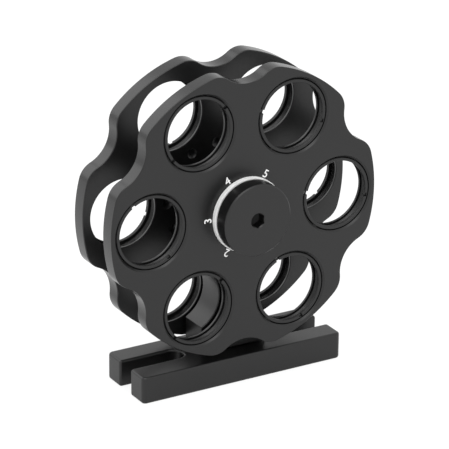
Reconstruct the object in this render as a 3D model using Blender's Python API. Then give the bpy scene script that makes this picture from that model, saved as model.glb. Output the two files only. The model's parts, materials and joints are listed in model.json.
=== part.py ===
"""A station with two six-position filter wheels, built in Blender.

Two scalloped wheels turn on shoulder screws on either side of one upright, which stands on a slotted
base. Each wheel has six stepped bores for round filters, with a threaded retaining ring in each, and
twelve dimples on its inner face. Two balls, pushed apart by one spring in a cross bore of the upright,
click into the dimples.

Metres, +Z up. The origin is on the surface that the base stands on, under the middle of the upright.
The wheels' axis runs along Y, and the front wheel is on the -Y side.
"""

import math

import bmesh
import bpy
from mathutils import Matrix, Vector

MM = 0.001

# Clearances
SEAT_GAP = 0.3 * MM
WHEEL_TO_UPRIGHT = 1.5 * MM
WHEEL_TO_BASE = 1.05 * MM

# Base plate
BASE_LENGTH = 78.6 * MM
BASE_WIDTH = 25.4 * MM
BASE_HEIGHT = 9.7 * MM
BASE_EDGE = 0.4 * MM
SLOT_WIDTH = 7.2 * MM
SLOT_TO_UPRIGHT = 4.3 * MM

# Upright
UPRIGHT_WIDTH = 25.4 * MM
UPRIGHT_THICKNESS = 11.1 * MM
UPRIGHT_EDGE = 0.4 * MM

# Screws that hold the upright to the base
BASE_SCREW_SPACING = 15.0 * MM
BASE_SCREW_RADIUS = 2.0 * MM
BASE_SCREW_HEAD_RADIUS = 3.5 * MM
BASE_SCREW_HEAD_HEIGHT = 4.0 * MM
BASE_SCREW_LAND = 5.1 * MM
BASE_SCREW_GRIP = 6.9 * MM
BASE_SCREW_HEX = 3.0 * MM
BASE_SCREW_HEX_DEPTH = 2.0 * MM

# Filter bores
POSITIONS = 6
FILTER_BORE_RADIUS = 13.3 * MM
BORE_WEB = 9.5 * MM
BORE_CHAMFER = 0.3 * MM
LIP_WIDTH = 1.0 * MM
LIP_THICKNESS = 0.9 * MM

# Wheels
WHEEL_THICKNESS = 5.9 * MM
WHEEL_EDGE = 0.4 * MM
RIM_WALL = 1.95 * MM
SCALLOP_DEPTH = 5.3 * MM
SCALLOP_RADIUS = 12.0 * MM
SCALLOP_FILLET = 7.5 * MM

# Retaining rings
RING_THICKNESS = 1.9 * MM
RING_WIDTH = 1.15 * MM
RING_RECESS = 1.2 * MM
NOTCH_WIDTH = 1.3 * MM
NOTCH_DEPTH = 0.9 * MM
# How far each front ring is screwed round, in degrees, for the bores at 0, 60, 120, 180, 240 and 300
FRONT_RING_TURNS = (168.0, 163.0, 38.0, 123.0, 44.5, 113.0)
REAR_RING_TURNS = (20.0, 75.0, 131.0, 52.0, 160.0, 98.0)

# Pivot screws with their knob heads, washers and bushings
KNOB_OVERHANG = 0.1 * MM
KNOB_THICKNESS = 5.6 * MM
KNOB_CHAMFER = 0.4 * MM
SHOULDER_RADIUS = 4.7 * MM
PIVOT_THREAD_RADIUS = 3.0 * MM
PIVOT_ENDS_APART = 1.7 * MM
PIVOT_HEX = 4.76 * MM
PIVOT_HEX_DEPTH = 3.5 * MM
PIVOT_COUNTERSINK_RADIUS = 3.0 * MM
SPACER_OVERHANG = 0.55 * MM
SPACER_THICKNESS = 1.65 * MM
SPACER_CHAMFER = 0.25 * MM
INNER_WASHER_RADIUS = 9.5 * MM
BUSHING_WALL = 1.4 * MM

# Detent
DIMPLE_COUNT = 12
DETENT_CIRCLE_RADIUS = 19.05 * MM
BALL_RADIUS = 2.38 * MM
DIMPLE_MOUTH_RADIUS = 1.8 * MM
SPRING_WIRE_RADIUS = 0.25 * MM
SPRING_TURNS = 4

# Facets of round shapes
ROUND_STEPS = 32
BORE_STEPS = 28
SLEEVE_STEPS = 24
SMALL_STEPS = 16
SPRING_STEPS_PER_TURN = 12
BALL_SEGMENTS = 14
BALL_RINGS = 8
DIMPLE_STEPS = 8
FILLET_STEPS = 3
SCALLOP_STEPS = 4
LOBE_STEPS = 3
CUT_OVERRUN = 1.0 * MM
BEVELLED_ANGLE = math.radians(50.0)
SMOOTHED_ANGLE = math.radians(30.0)
BALL_SMOOTHED_ANGLE = math.radians(60.0)
AXIS_MARKER_SIZE = 10.0 * MM

# Sizes that follow from the ones above
HALF_PITCH = math.pi / POSITIONS
FILTER_CIRCLE_RADIUS = (FILTER_BORE_RADIUS + BORE_WEB / 2) / math.sin(HALF_PITCH)
LIP_BORE_RADIUS = FILTER_BORE_RADIUS - LIP_WIDTH
RING_OUTER_RADIUS = FILTER_BORE_RADIUS - SEAT_GAP
RING_INNER_RADIUS = RING_OUTER_RADIUS - RING_WIDTH
HOLLOW_RADIUS = FILTER_BORE_RADIUS
WHEEL_RADIUS = FILTER_CIRCLE_RADIUS + FILTER_BORE_RADIUS + RIM_WALL
AXLE_HEIGHT = BASE_HEIGHT + WHEEL_TO_BASE + WHEEL_RADIUS
SLOT_INNER_END = UPRIGHT_WIDTH / 2 + SLOT_TO_UPRIGHT
BASE_SCREW_SEAT = BASE_HEIGHT - BASE_SCREW_LAND
UPRIGHT_FOOT = BASE_HEIGHT + SEAT_GAP
KNOB_RADIUS = UPRIGHT_WIDTH / 2 + KNOB_OVERHANG
SPACER_RADIUS = KNOB_RADIUS + SPACER_OVERHANG
DIMPLE_RADIUS = BALL_RADIUS + SEAT_GAP
SPRING_RADIUS = BALL_RADIUS - SPRING_WIRE_RADIUS

# Places along the axle, as distances from the plane midway between the wheels
WHEEL_INNER_FACE = UPRIGHT_THICKNESS / 2 + WHEEL_TO_UPRIGHT
WHEEL_OUTER_FACE = WHEEL_INNER_FACE + WHEEL_THICKNESS
SPACER_INNER_FACE = WHEEL_OUTER_FACE + SEAT_GAP
SPACER_OUTER_FACE = SPACER_INNER_FACE + SPACER_THICKNESS
KNOB_INNER_FACE = SPACER_OUTER_FACE + SEAT_GAP
KNOB_OUTER_FACE = KNOB_INNER_FACE + KNOB_THICKNESS
BALL_CENTRE = WHEEL_INNER_FACE - math.sqrt(DIMPLE_RADIUS**2 - DIMPLE_MOUTH_RADIUS**2)


def make_material(name, colour, roughness, metallic=0.0):
    material = bpy.data.materials.new(name)
    material.use_nodes = True
    shader = material.node_tree.nodes["Principled BSDF"]
    shader.inputs["Base Color"].default_value = (*colour, 1.0)
    shader.inputs["Roughness"].default_value = roughness
    shader.inputs["Metallic"].default_value = metallic
    return material


def make_materials():
    return {
        "anodised": make_material("black_anodised", (0.035, 0.035, 0.037), 0.45),
        "ring": make_material("black_anodised_ring", (0.03, 0.03, 0.032), 0.4),
        "acetal": make_material("white_acetal", (0.72, 0.72, 0.72), 0.5),
        "bronze": make_material("bearing_bronze", (0.5, 0.32, 0.14), 0.35, 1.0),
        "ball": make_material("polished_steel", (0.62, 0.62, 0.63), 0.12, 1.0),
        "spring": make_material("spring_steel", (0.45, 0.45, 0.46), 0.3, 1.0),
        "screw": make_material("black_oxide_steel", (0.04, 0.04, 0.045), 0.35, 0.6),
    }


def clear_scene():
    for obj in list(bpy.data.objects):
        bpy.data.objects.remove(obj, do_unlink=True)


def add_object(name, mesh, material=None, parent=None, matrix=None):
    """Link a mesh as an object, placed by matrix in its parent's frame."""
    obj = bpy.data.objects.new(name, mesh)
    bpy.context.scene.collection.objects.link(obj)
    obj.parent = parent
    if matrix is not None:
        obj.matrix_basis = matrix
    if material is not None:
        mesh.materials.append(material)
    return obj


def finish_mesh(name, shape, smoothed_angle=SMOOTHED_ANGLE):
    """Close the bmesh into a mesh with outward normals, smooth apart from its sharp edges."""
    bmesh.ops.recalc_face_normals(shape, faces=shape.faces)
    mesh = bpy.data.meshes.new(name)
    shape.to_mesh(mesh)
    shape.free()
    mesh.shade_smooth()
    mesh.set_sharp_from_angle(angle=smoothed_angle)
    return mesh


def add_lathe(shape, profile, steps, offset=Vector((0.0, 0.0, 0.0))):
    """Turn a profile of (radius, height) points round a line along Z through offset."""
    points = [shape.verts.new(Vector((radius, 0.0, height)) + offset) for radius, height in profile]
    edges = [shape.edges.new(pair) for pair in zip(points, points[1:])]
    if profile[0][0] > 0.0:
        edges.append(shape.edges.new((points[-1], points[0])))
    bmesh.ops.spin(
        shape,
        geom=points + edges,
        cent=offset,
        axis=(0.0, 0.0, 1.0),
        angle=math.tau,
        steps=steps,
        use_merge=True,
        use_duplicate=False,
    )
    near_axis = [v for v in shape.verts if (v.co - offset).xy.length < 1e-7]
    bmesh.ops.remove_doubles(shape, verts=near_axis, dist=1e-6)


def lathe_mesh(name, profile, steps):
    shape = bmesh.new()
    add_lathe(shape, profile, steps)
    return finish_mesh(name, shape)


def prism_mesh(name, outline, low, high, edge):
    """Extrude a closed outline of (x, y) points from low to high, with its sharp edges bevelled."""
    shape = bmesh.new()
    face = shape.faces.new([shape.verts.new((x, y, low)) for x, y in outline])
    top = bmesh.ops.extrude_face_region(shape, geom=[face])
    raised = [item for item in top["geom"] if isinstance(item, bmesh.types.BMVert)]
    bmesh.ops.translate(shape, verts=raised, vec=(0.0, 0.0, high - low))
    bmesh.ops.recalc_face_normals(shape, faces=shape.faces)
    if edge > 0.0:
        sharp = [e for e in shape.edges if e.calc_face_angle(0.0) > BEVELLED_ANGLE]
        bmesh.ops.bevel(
            shape,
            geom=sharp,
            offset=edge,
            offset_type="OFFSET",
            segments=1,
            profile=0.5,
            affect="EDGES",
            clamp_overlap=True,
        )
    return finish_mesh(name, shape)


def hexagon(across_flats):
    """Corners of a hexagon with a corner straight up."""
    corner_radius = across_flats / (2 * math.cos(math.pi / 6))
    angles = [math.radians(90.0 + 60.0 * k) for k in range(6)]
    return [(corner_radius * math.cos(a), corner_radius * math.sin(a)) for a in angles]


def arc(centre, radius, start, end, steps):
    """Points on an arc, angles in radians, both ends included."""
    angles = [start + (end - start) * k / steps for k in range(steps + 1)]
    return [(centre[0] + radius * math.cos(a), centre[1] + radius * math.sin(a)) for a in angles]


def without_repeats(points):
    kept = []
    for point in points:
        if not kept or math.dist(point, kept[-1]) > 1e-6:
            kept.append(point)
    if math.dist(kept[0], kept[-1]) < 1e-6:
        kept.pop()
    return kept


def cut(target, cutter):
    """Subtract a helper object from a piece."""
    modifier = target.modifiers.new("cut_" + cutter.name, "BOOLEAN")
    modifier.operation = "DIFFERENCE"
    modifier.solver = "EXACT"
    modifier.object = cutter


def add_cutter(name, mesh, parent=None, matrix=None):
    cutter = add_object(name, mesh, parent=parent, matrix=matrix)
    cutter.hide_render = True
    cutter.display_type = "WIRE"
    return cutter


def build_base(materials):
    half_length = BASE_LENGTH / 2
    half_width = BASE_WIDTH / 2
    half_slot = SLOT_WIDTH / 2
    slot_centre = SLOT_INNER_END + half_slot
    outline = []
    for side in (1, -1):
        outline.append((side * half_length, -side * half_width))
        outline.append((side * half_length, -side * half_slot))
        facing = 0.0 if side == 1 else math.pi
        outline += arc(
            (side * slot_centre, 0.0),
            half_slot,
            facing - math.pi / 2,
            facing - 3 * math.pi / 2,
            ROUND_STEPS // 4,
        )
        outline.append((side * half_length, side * half_slot))
        outline.append((side * half_length, side * half_width))
    mesh = prism_mesh("base_plate", outline, 0.0, BASE_HEIGHT, BASE_EDGE)
    base = add_object("base_plate", mesh, materials["anodised"])
    head_room = BASE_SCREW_HEAD_RADIUS + SEAT_GAP
    head_top = BASE_SCREW_SEAT + SEAT_GAP
    hole = BASE_SCREW_RADIUS + SEAT_GAP
    profile = [
        (0.0, -CUT_OVERRUN),
        (head_room, -CUT_OVERRUN),
        (head_room, head_top),
        (hole, head_top),
        (hole, BASE_HEIGHT + CUT_OVERRUN),
        (0.0, BASE_HEIGHT + CUT_OVERRUN),
    ]
    shape = bmesh.new()
    for side in (-1, 1):
        add_lathe(shape, profile, SMALL_STEPS, Vector((side * BASE_SCREW_SPACING / 2, 0.0, 0.0)))
    cut(base, add_cutter("base_screw_holes", finish_mesh("base_screw_holes", shape)))


def upright_outline():
    """Front view of the upright: a bar with a round top, hollowed on both sides round the lower apertures."""
    half = UPRIGHT_WIDTH / 2
    aperture = -2 * HALF_PITCH
    centre_x = FILTER_CIRCLE_RADIUS * math.cos(aperture)
    centre_z = AXLE_HEIGHT + FILTER_CIRCLE_RADIUS * math.sin(aperture)
    swing = math.acos((centre_x - half) / HOLLOW_RADIUS)
    right = [(half, UPRIGHT_FOOT)]
    right += arc(
        (centre_x, centre_z),
        HOLLOW_RADIUS,
        math.pi + swing,
        math.pi - swing,
        ROUND_STEPS // 2,
    )
    crown = arc((0.0, AXLE_HEIGHT), half, 0.0, math.pi, ROUND_STEPS // 2)
    left = [(-x, z) for x, z in reversed(right)]
    return right + crown + left


def build_upright(materials):
    """The outline is drawn in X and Z, and extruded along the axle."""
    half = UPRIGHT_THICKNESS / 2
    mesh = prism_mesh("upright", upright_outline(), -half, half, UPRIGHT_EDGE)
    stand = Matrix.Rotation(math.radians(90.0), 4, "X")
    upright = add_object("upright", mesh, materials["anodised"], matrix=stand)
    reach = half + CUT_OVERRUN
    bores = (
        ("upright_pivot_bore", AXLE_HEIGHT, PIVOT_THREAD_RADIUS + SEAT_GAP),
        ("upright_detent_bore", AXLE_HEIGHT - DETENT_CIRCLE_RADIUS, BALL_RADIUS + SEAT_GAP),
    )
    shape = bmesh.new()
    for _, height, radius in bores:
        profile = [(0.0, -reach), (radius, -reach), (radius, reach), (0.0, reach)]
        add_lathe(shape, profile, SMALL_STEPS, Vector((0.0, height, 0.0)))
    cut(upright, add_cutter("upright_bores", finish_mesh("upright_bores", shape), matrix=stand))
    hole = BASE_SCREW_RADIUS + SEAT_GAP
    low = UPRIGHT_FOOT - CUT_OVERRUN
    high = BASE_HEIGHT + BASE_SCREW_GRIP + 2 * SEAT_GAP
    shape = bmesh.new()
    for side in (-1, 1):
        add_lathe(
            shape,
            [(0.0, low), (hole, low), (hole, high), (0.0, high)],
            SMALL_STEPS,
            Vector((side * BASE_SCREW_SPACING / 2, 0.0, 0.0)),
        )
    cut(upright, add_cutter("upright_screw_holes", finish_mesh("upright_screw_holes", shape)))


def build_base_screws(materials):
    head_low = BASE_SCREW_SEAT - BASE_SCREW_HEAD_HEIGHT
    thread_end = BASE_HEIGHT + BASE_SCREW_GRIP
    profile = [
        (0.0, head_low),
        (BASE_SCREW_HEAD_RADIUS, head_low),
        (BASE_SCREW_HEAD_RADIUS, BASE_SCREW_SEAT),
        (BASE_SCREW_RADIUS, BASE_SCREW_SEAT),
        (BASE_SCREW_RADIUS, thread_end),
        (0.0, thread_end),
    ]
    for name, side in (("left", -1), ("right", 1)):
        place = Matrix.Translation((side * BASE_SCREW_SPACING / 2, 0.0, 0.0))
        mesh = lathe_mesh("base_screw_" + name, profile, SMALL_STEPS)
        screw = add_object("base_screw_" + name, mesh, materials["screw"], matrix=place)
        socket = prism_mesh(
            "base_screw_socket_" + name,
            hexagon(BASE_SCREW_HEX),
            head_low - CUT_OVERRUN,
            head_low + BASE_SCREW_HEX_DEPTH,
            0.0,
        )
        cut(screw, add_cutter("base_screw_socket_" + name, socket, matrix=place))


def wheel_outline():
    """The wheel's rim: a lobe at each filter position and a finger scallop between each pair of lobes."""
    scallop_distance = WHEEL_RADIUS - SCALLOP_DEPTH + SCALLOP_RADIUS
    fillet_distance = WHEEL_RADIUS - SCALLOP_FILLET
    reach = SCALLOP_RADIUS + SCALLOP_FILLET
    cosine = (fillet_distance**2 + scallop_distance**2 - reach**2) / (2 * fillet_distance * scallop_distance)
    between = math.acos(cosine)
    fillet_angle = HALF_PITCH - between
    fillet_centre = Vector((fillet_distance * math.cos(fillet_angle), fillet_distance * math.sin(fillet_angle)))
    scallop_centre = Vector((scallop_distance * math.cos(HALF_PITCH), scallop_distance * math.sin(HALF_PITCH)))
    tangent = scallop_centre - fillet_centre
    tangent_angle = math.atan2(tangent.y, tangent.x)
    scallop_start = tangent_angle - math.pi
    scallop_middle = HALF_PITCH - math.pi
    half_lobe = arc((0.0, 0.0), WHEEL_RADIUS, 0.0, fillet_angle, LOBE_STEPS)
    half_lobe += arc(fillet_centre, SCALLOP_FILLET, fillet_angle, tangent_angle, FILLET_STEPS)
    half_lobe += arc(scallop_centre, SCALLOP_RADIUS, scallop_start, scallop_middle, SCALLOP_STEPS)
    sector = [(x, -y) for x, y in reversed(half_lobe)] + half_lobe
    outline = []
    for k in range(POSITIONS):
        turn = Matrix.Rotation(2 * HALF_PITCH * k, 2)
        outline += [tuple(turn @ Vector(point)) for point in sector]
    return without_repeats(outline)


def filter_bore_profile():
    """Stepped bore: a wide thread for filter and ring, and a narrow lip at the wheel's inner face."""
    return [
        (0.0, WHEEL_INNER_FACE - CUT_OVERRUN),
        (LIP_BORE_RADIUS + BORE_CHAMFER + CUT_OVERRUN, WHEEL_INNER_FACE - CUT_OVERRUN),
        (LIP_BORE_RADIUS, WHEEL_INNER_FACE + BORE_CHAMFER),
        (LIP_BORE_RADIUS, WHEEL_INNER_FACE + LIP_THICKNESS),
        (FILTER_BORE_RADIUS, WHEEL_INNER_FACE + LIP_THICKNESS),
        (FILTER_BORE_RADIUS, WHEEL_OUTER_FACE - BORE_CHAMFER),
        (FILTER_BORE_RADIUS + BORE_CHAMFER + CUT_OVERRUN, WHEEL_OUTER_FACE + CUT_OVERRUN),
        (0.0, WHEEL_OUTER_FACE + CUT_OVERRUN),
    ]


def dimple_profile():
    """A dimple that seats the ball, with its clearance, as a turned cone with a rounded floor."""
    floor = BALL_CENTRE + DIMPLE_RADIUS
    mouth = math.asin(DIMPLE_MOUTH_RADIUS / DIMPLE_RADIUS)
    middle = (DIMPLE_RADIUS * math.sin(mouth / 2), BALL_CENTRE + DIMPLE_RADIUS * math.cos(mouth / 2))
    flare = DIMPLE_MOUTH_RADIUS + CUT_OVERRUN / 2
    return [
        (0.0, WHEEL_INNER_FACE - CUT_OVERRUN),
        (flare, WHEEL_INNER_FACE - CUT_OVERRUN),
        (DIMPLE_MOUTH_RADIUS, WHEEL_INNER_FACE),
        middle,
        (0.0, floor),
    ]


def around(radius, angle):
    return Vector((radius * math.cos(angle), radius * math.sin(angle), 0.0))


def build_wheel(side, pivot, materials):
    name = side + "_wheel"
    mesh = prism_mesh(name, wheel_outline(), WHEEL_INNER_FACE, WHEEL_OUTER_FACE, WHEEL_EDGE)
    wheel = add_object(name, mesh, materials["anodised"], pivot)
    hub_bore = SHOULDER_RADIUS + BUSHING_WALL + 2 * SEAT_GAP
    low = WHEEL_INNER_FACE - CUT_OVERRUN
    high = WHEEL_OUTER_FACE + CUT_OVERRUN
    shape = bmesh.new()
    add_lathe(shape, [(0.0, low), (hub_bore, low), (hub_bore, high), (0.0, high)], BORE_STEPS)
    for k in range(POSITIONS):
        centre = around(FILTER_CIRCLE_RADIUS, math.tau * k / POSITIONS)
        add_lathe(shape, filter_bore_profile(), BORE_STEPS, centre)
    for k in range(DIMPLE_COUNT):
        centre = around(DETENT_CIRCLE_RADIUS, math.tau * k / DIMPLE_COUNT)
        add_lathe(shape, dimple_profile(), DIMPLE_STEPS, centre)
    cut(wheel, add_cutter(name + "_bores", finish_mesh(name + "_bores", shape), pivot))


def build_rings(side, pivot, turns, materials):
    front = WHEEL_OUTER_FACE - RING_RECESS
    back = front - RING_THICKNESS
    profile = [
        (RING_INNER_RADIUS, back),
        (RING_OUTER_RADIUS, back),
        (RING_OUTER_RADIUS, front),
        (RING_INNER_RADIUS, front),
    ]
    half_bar = RING_OUTER_RADIUS + CUT_OVERRUN
    half_notch = NOTCH_WIDTH / 2
    bar = [(-half_bar, -half_notch), (half_bar, -half_notch), (half_bar, half_notch), (-half_bar, half_notch)]
    for k, turn in enumerate(turns):
        name = f"{side}_ring_{k + 1}"
        centre = around(FILTER_CIRCLE_RADIUS, math.tau * k / POSITIONS)
        place = Matrix.Translation(centre) @ Matrix.Rotation(math.radians(turn), 4, "Z")
        ring = add_object(name, lathe_mesh(name, profile, BORE_STEPS), materials["ring"], pivot, place)
        notch = prism_mesh(name + "_notches", bar, front - NOTCH_DEPTH, front + CUT_OVERRUN, 0.0)
        cut(ring, add_cutter(name + "_notches", notch, pivot, place))


def build_pivot_screw(side, fixed, materials):
    """A knob head on a ground shoulder, with a thread into the upright and a hexagon socket."""
    shoulder_seat = UPRIGHT_THICKNESS / 2 + SEAT_GAP
    thread_end = PIVOT_ENDS_APART / 2
    profile = [
        (0.0, thread_end),
        (PIVOT_THREAD_RADIUS, thread_end),
        (PIVOT_THREAD_RADIUS, shoulder_seat),
        (SHOULDER_RADIUS, shoulder_seat),
        (SHOULDER_RADIUS, KNOB_INNER_FACE),
        (KNOB_RADIUS, KNOB_INNER_FACE),
        (KNOB_RADIUS, KNOB_OUTER_FACE - KNOB_CHAMFER),
        (KNOB_RADIUS - KNOB_CHAMFER, KNOB_OUTER_FACE),
        (0.0, KNOB_OUTER_FACE),
    ]
    name = side + "_pivot_screw"
    screw = add_object(name, lathe_mesh(name, profile, ROUND_STEPS), materials["anodised"], fixed)
    socket = prism_mesh(
        name + "_socket",
        hexagon(PIVOT_HEX),
        KNOB_OUTER_FACE - PIVOT_HEX_DEPTH,
        KNOB_OUTER_FACE + CUT_OVERRUN,
        0.0,
    )
    cut(screw, add_cutter(name + "_socket", socket, fixed))
    countersink = [
        (0.0, KNOB_OUTER_FACE - PIVOT_COUNTERSINK_RADIUS),
        (PIVOT_COUNTERSINK_RADIUS + CUT_OVERRUN, KNOB_OUTER_FACE + CUT_OVERRUN),
        (0.0, KNOB_OUTER_FACE + CUT_OVERRUN),
    ]
    cone = lathe_mesh(name + "_countersink", countersink, SMALL_STEPS)
    cut(screw, add_cutter(name + "_countersink", cone, fixed))


def washer_profile(inner, outer, low, high, chamfer):
    return [
        (inner, low),
        (outer - chamfer, low),
        (outer, low + chamfer),
        (outer, high - chamfer),
        (outer - chamfer, high),
        (inner, high),
    ]


def build_washers_and_bushing(side, fixed, pivot, materials):
    """The two plastic washers stay with the screw, and the bushing turns with the wheel."""
    bore = SHOULDER_RADIUS + SEAT_GAP
    spacer = washer_profile(bore, SPACER_RADIUS, SPACER_INNER_FACE, SPACER_OUTER_FACE, SPACER_CHAMFER)
    name = side + "_thrust_spacer"
    add_object(name, lathe_mesh(name, spacer, ROUND_STEPS), materials["acetal"], fixed)
    low = UPRIGHT_THICKNESS / 2 + SEAT_GAP
    high = WHEEL_INNER_FACE - SEAT_GAP
    washer = [(bore, low), (INNER_WASHER_RADIUS, low), (INNER_WASHER_RADIUS, high), (bore, high)]
    name = side + "_inner_washer"
    add_object(name, lathe_mesh(name, washer, SLEEVE_STEPS), materials["acetal"], fixed)
    sleeve = [
        (bore, WHEEL_INNER_FACE),
        (bore + BUSHING_WALL, WHEEL_INNER_FACE),
        (bore + BUSHING_WALL, WHEEL_OUTER_FACE),
        (bore, WHEEL_OUTER_FACE),
    ]
    name = side + "_bushing"
    add_object(name, lathe_mesh(name, sleeve, SLEEVE_STEPS), materials["bronze"], pivot)


def build_ball(side, fixed, materials):
    """The ball's origin is at its centre, on the line that it slides along."""
    shape = bmesh.new()
    bmesh.ops.create_uvsphere(shape, u_segments=BALL_SEGMENTS, v_segments=BALL_RINGS, radius=BALL_RADIUS)
    place = Matrix.Translation((0.0, -DETENT_CIRCLE_RADIUS, BALL_CENTRE))
    name = side + "_detent_ball"
    add_object(name, finish_mesh(name, shape, BALL_SMOOTHED_ANGLE), materials["ball"], fixed, place)


def build_spring(fixed, materials):
    """One spring between the two balls, as a wire wound along the cross bore."""
    seat = BALL_RADIUS + SEAT_GAP + SPRING_WIRE_RADIUS
    half_length = BALL_CENTRE - math.sqrt(seat**2 - SPRING_RADIUS**2)
    curve = bpy.data.curves.new("detent_spring", "CURVE")
    curve.dimensions = "3D"
    curve.bevel_depth = SPRING_WIRE_RADIUS
    curve.bevel_resolution = 0
    curve.use_fill_caps = True
    spline = curve.splines.new("POLY")
    steps = SPRING_TURNS * SPRING_STEPS_PER_TURN
    spline.points.add(steps)
    for k, point in enumerate(spline.points):
        turn = math.tau * SPRING_TURNS * k / steps
        height = half_length * (2 * k / steps - 1)
        point.co = (SPRING_RADIUS * math.cos(turn), SPRING_RADIUS * math.sin(turn), height, 1.0)
    place = Matrix.Translation((0.0, -DETENT_CIRCLE_RADIUS, 0.0))
    add_object("detent_spring", curve, materials["spring"], fixed, place)


def add_empty(name, matrix):
    empty = bpy.data.objects.new(name, None)
    bpy.context.scene.collection.objects.link(empty)
    empty.empty_display_size = AXIS_MARKER_SIZE
    empty.matrix_basis = matrix
    return empty


def build_side(side, facing, turns, materials):
    """Everything on one side of the upright. In this frame +Z points outward along the axle."""
    axle = Matrix.Translation((0.0, 0.0, AXLE_HEIGHT))
    outward = Matrix.Rotation(facing, 4, "Z") @ Matrix.Rotation(math.radians(90.0), 4, "X")
    fixed = add_empty(side + "_axle", axle @ outward)
    pivot = add_empty(side + "_wheel_pivot", axle @ outward)
    build_wheel(side, pivot, materials)
    build_rings(side, pivot, turns, materials)
    build_pivot_screw(side, fixed, materials)
    build_washers_and_bushing(side, fixed, pivot, materials)
    build_ball(side, fixed, materials)
    return fixed


def main():
    clear_scene()
    materials = make_materials()
    build_base(materials)
    build_upright(materials)
    build_base_screws(materials)
    front = build_side("front", 0.0, FRONT_RING_TURNS, materials)
    build_side("rear", math.pi, REAR_RING_TURNS, materials)
    build_spring(front, materials)
    bpy.context.view_layer.update()


main()
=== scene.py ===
"""Looks of a station with two six-position filter wheels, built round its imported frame.

Metres, +Z up. Each visible piece is a fine mesh that stands for the frame's plain solid. Pieces on one
side of the upright are made in that side's own frame, where +Z points outward along the axle.
"""

import json
import math

import bmesh
import bpy
from mathutils import Matrix, Vector


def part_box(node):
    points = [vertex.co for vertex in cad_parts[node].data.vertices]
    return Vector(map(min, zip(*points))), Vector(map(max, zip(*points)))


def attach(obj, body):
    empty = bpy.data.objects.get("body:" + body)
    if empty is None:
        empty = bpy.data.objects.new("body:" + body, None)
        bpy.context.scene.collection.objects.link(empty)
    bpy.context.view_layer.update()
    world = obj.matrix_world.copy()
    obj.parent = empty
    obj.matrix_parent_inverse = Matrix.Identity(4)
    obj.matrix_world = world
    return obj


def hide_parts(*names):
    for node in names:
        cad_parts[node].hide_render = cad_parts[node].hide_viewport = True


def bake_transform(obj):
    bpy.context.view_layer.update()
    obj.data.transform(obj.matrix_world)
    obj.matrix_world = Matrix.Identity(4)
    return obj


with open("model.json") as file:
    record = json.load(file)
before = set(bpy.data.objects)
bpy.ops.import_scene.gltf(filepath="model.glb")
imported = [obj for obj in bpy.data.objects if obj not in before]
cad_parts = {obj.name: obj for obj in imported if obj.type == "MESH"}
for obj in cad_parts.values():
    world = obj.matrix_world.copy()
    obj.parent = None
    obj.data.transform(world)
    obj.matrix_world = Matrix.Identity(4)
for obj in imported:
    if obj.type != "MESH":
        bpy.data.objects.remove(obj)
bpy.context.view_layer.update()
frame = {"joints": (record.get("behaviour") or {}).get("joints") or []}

MM = 0.001


def half_width(node):
    """Half of a node's extent in X."""
    low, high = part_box(node)
    return (high.x - low.x) / 2


# Sizes read from the frame
AXLE_HEIGHT = frame["joints"][0]["pos_m"][2]
WHEEL_INNER_FACE = -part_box("front_wheel")[1].y
WHEEL_OUTER_FACE = -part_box("front_wheel")[0].y
WHEEL_RADIUS = half_width("front_wheel")
FILTER_CIRCLE_RADIUS = sum(corner.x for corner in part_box("front_ring_1")) / 2
RING_OUTER_RADIUS = half_width("front_ring_1")
RING_FRONT = -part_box("front_ring_1")[0].y
RING_BACK = -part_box("front_ring_1")[1].y
SPACER_RADIUS = half_width("front_thrust_spacer")
SPACER_INNER_FACE = -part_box("front_thrust_spacer")[1].y
SPACER_OUTER_FACE = -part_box("front_thrust_spacer")[0].y
INNER_WASHER_RADIUS = half_width("front_inner_washer")
INNER_WASHER_INNER_FACE = -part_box("front_inner_washer")[1].y
INNER_WASHER_OUTER_FACE = -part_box("front_inner_washer")[0].y
BUSHING_RADIUS = half_width("front_bushing")
KNOB_RADIUS = half_width("front_pivot_screw")
KNOB_FACE = -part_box("front_pivot_screw")[0].y
PIVOT_END = -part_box("front_pivot_screw")[1].y
BASE_LOW, BASE_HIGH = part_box("base_plate")
UPRIGHT_LOW, UPRIGHT_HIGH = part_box("upright")
BALL_LOW, BALL_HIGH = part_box("front_detent_ball")
SCREW_LOW, SCREW_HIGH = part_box("base_screw_left")
SPRING_LOW, SPRING_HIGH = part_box("detent_spring")

# Clearance between pieces, and how far a cutter stands out of what it cuts
SEAT_GAP = 0.3 * MM
CUT_MARGIN = 1.0 * MM

# Wheels
POSITIONS = 6
HALF_PITCH = math.pi / POSITIONS
WHEEL_EDGE = 0.35 * MM
SCALLOP_DEPTH = 5.3 * MM
SCALLOP_RADIUS = 12.0 * MM
SCALLOP_FILLET = 7.5 * MM
HUB_BORE_RADIUS = BUSHING_RADIUS + SEAT_GAP
HUB_CHAMFER = 0.3 * MM
DIMPLE_COUNT = 12
DIMPLE_MOUTH_RADIUS = 1.8 * MM

# Filter bores and retaining rings
THREAD_PITCH = 0.635 * MM
THREAD_CREST_RADIUS = RING_OUTER_RADIUS + 0.1 * MM
THREAD_RELIEF = 1.3 * MM
THREAD_DEPTH = 0.3 * MM
BORE_RADIUS = RING_OUTER_RADIUS + SEAT_GAP
BORE_CHAMFER = 0.6 * MM
LIP_RADIUS = BORE_RADIUS - 1.0 * MM
LIP_THICKNESS = 0.9 * MM
LIP_CHAMFER = 0.15 * MM
RING_INNER_RADIUS = RING_OUTER_RADIUS - 1.15 * MM
RING_INNER_CHAMFER = 0.1 * MM
RING_LIFT = 0.65 * MM
RING_FACE = RING_FRONT + RING_LIFT
RING_REAR = RING_BACK + RING_LIFT + 0.5 * MM
RING_OUTER_CHAMFER = 0.2 * MM
RING_THREAD_DEPTH = 0.15 * MM
NOTCH_WIDTH = 1.3 * MM
NOTCH_DEPTH = 0.9 * MM
FRONT_RING_TURNS = (168.0, 163.0, 38.0, 123.0, 44.5, 113.0)
REAR_RING_TURNS = (20.0, 75.0, 131.0, 52.0, 160.0, 98.0)

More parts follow.
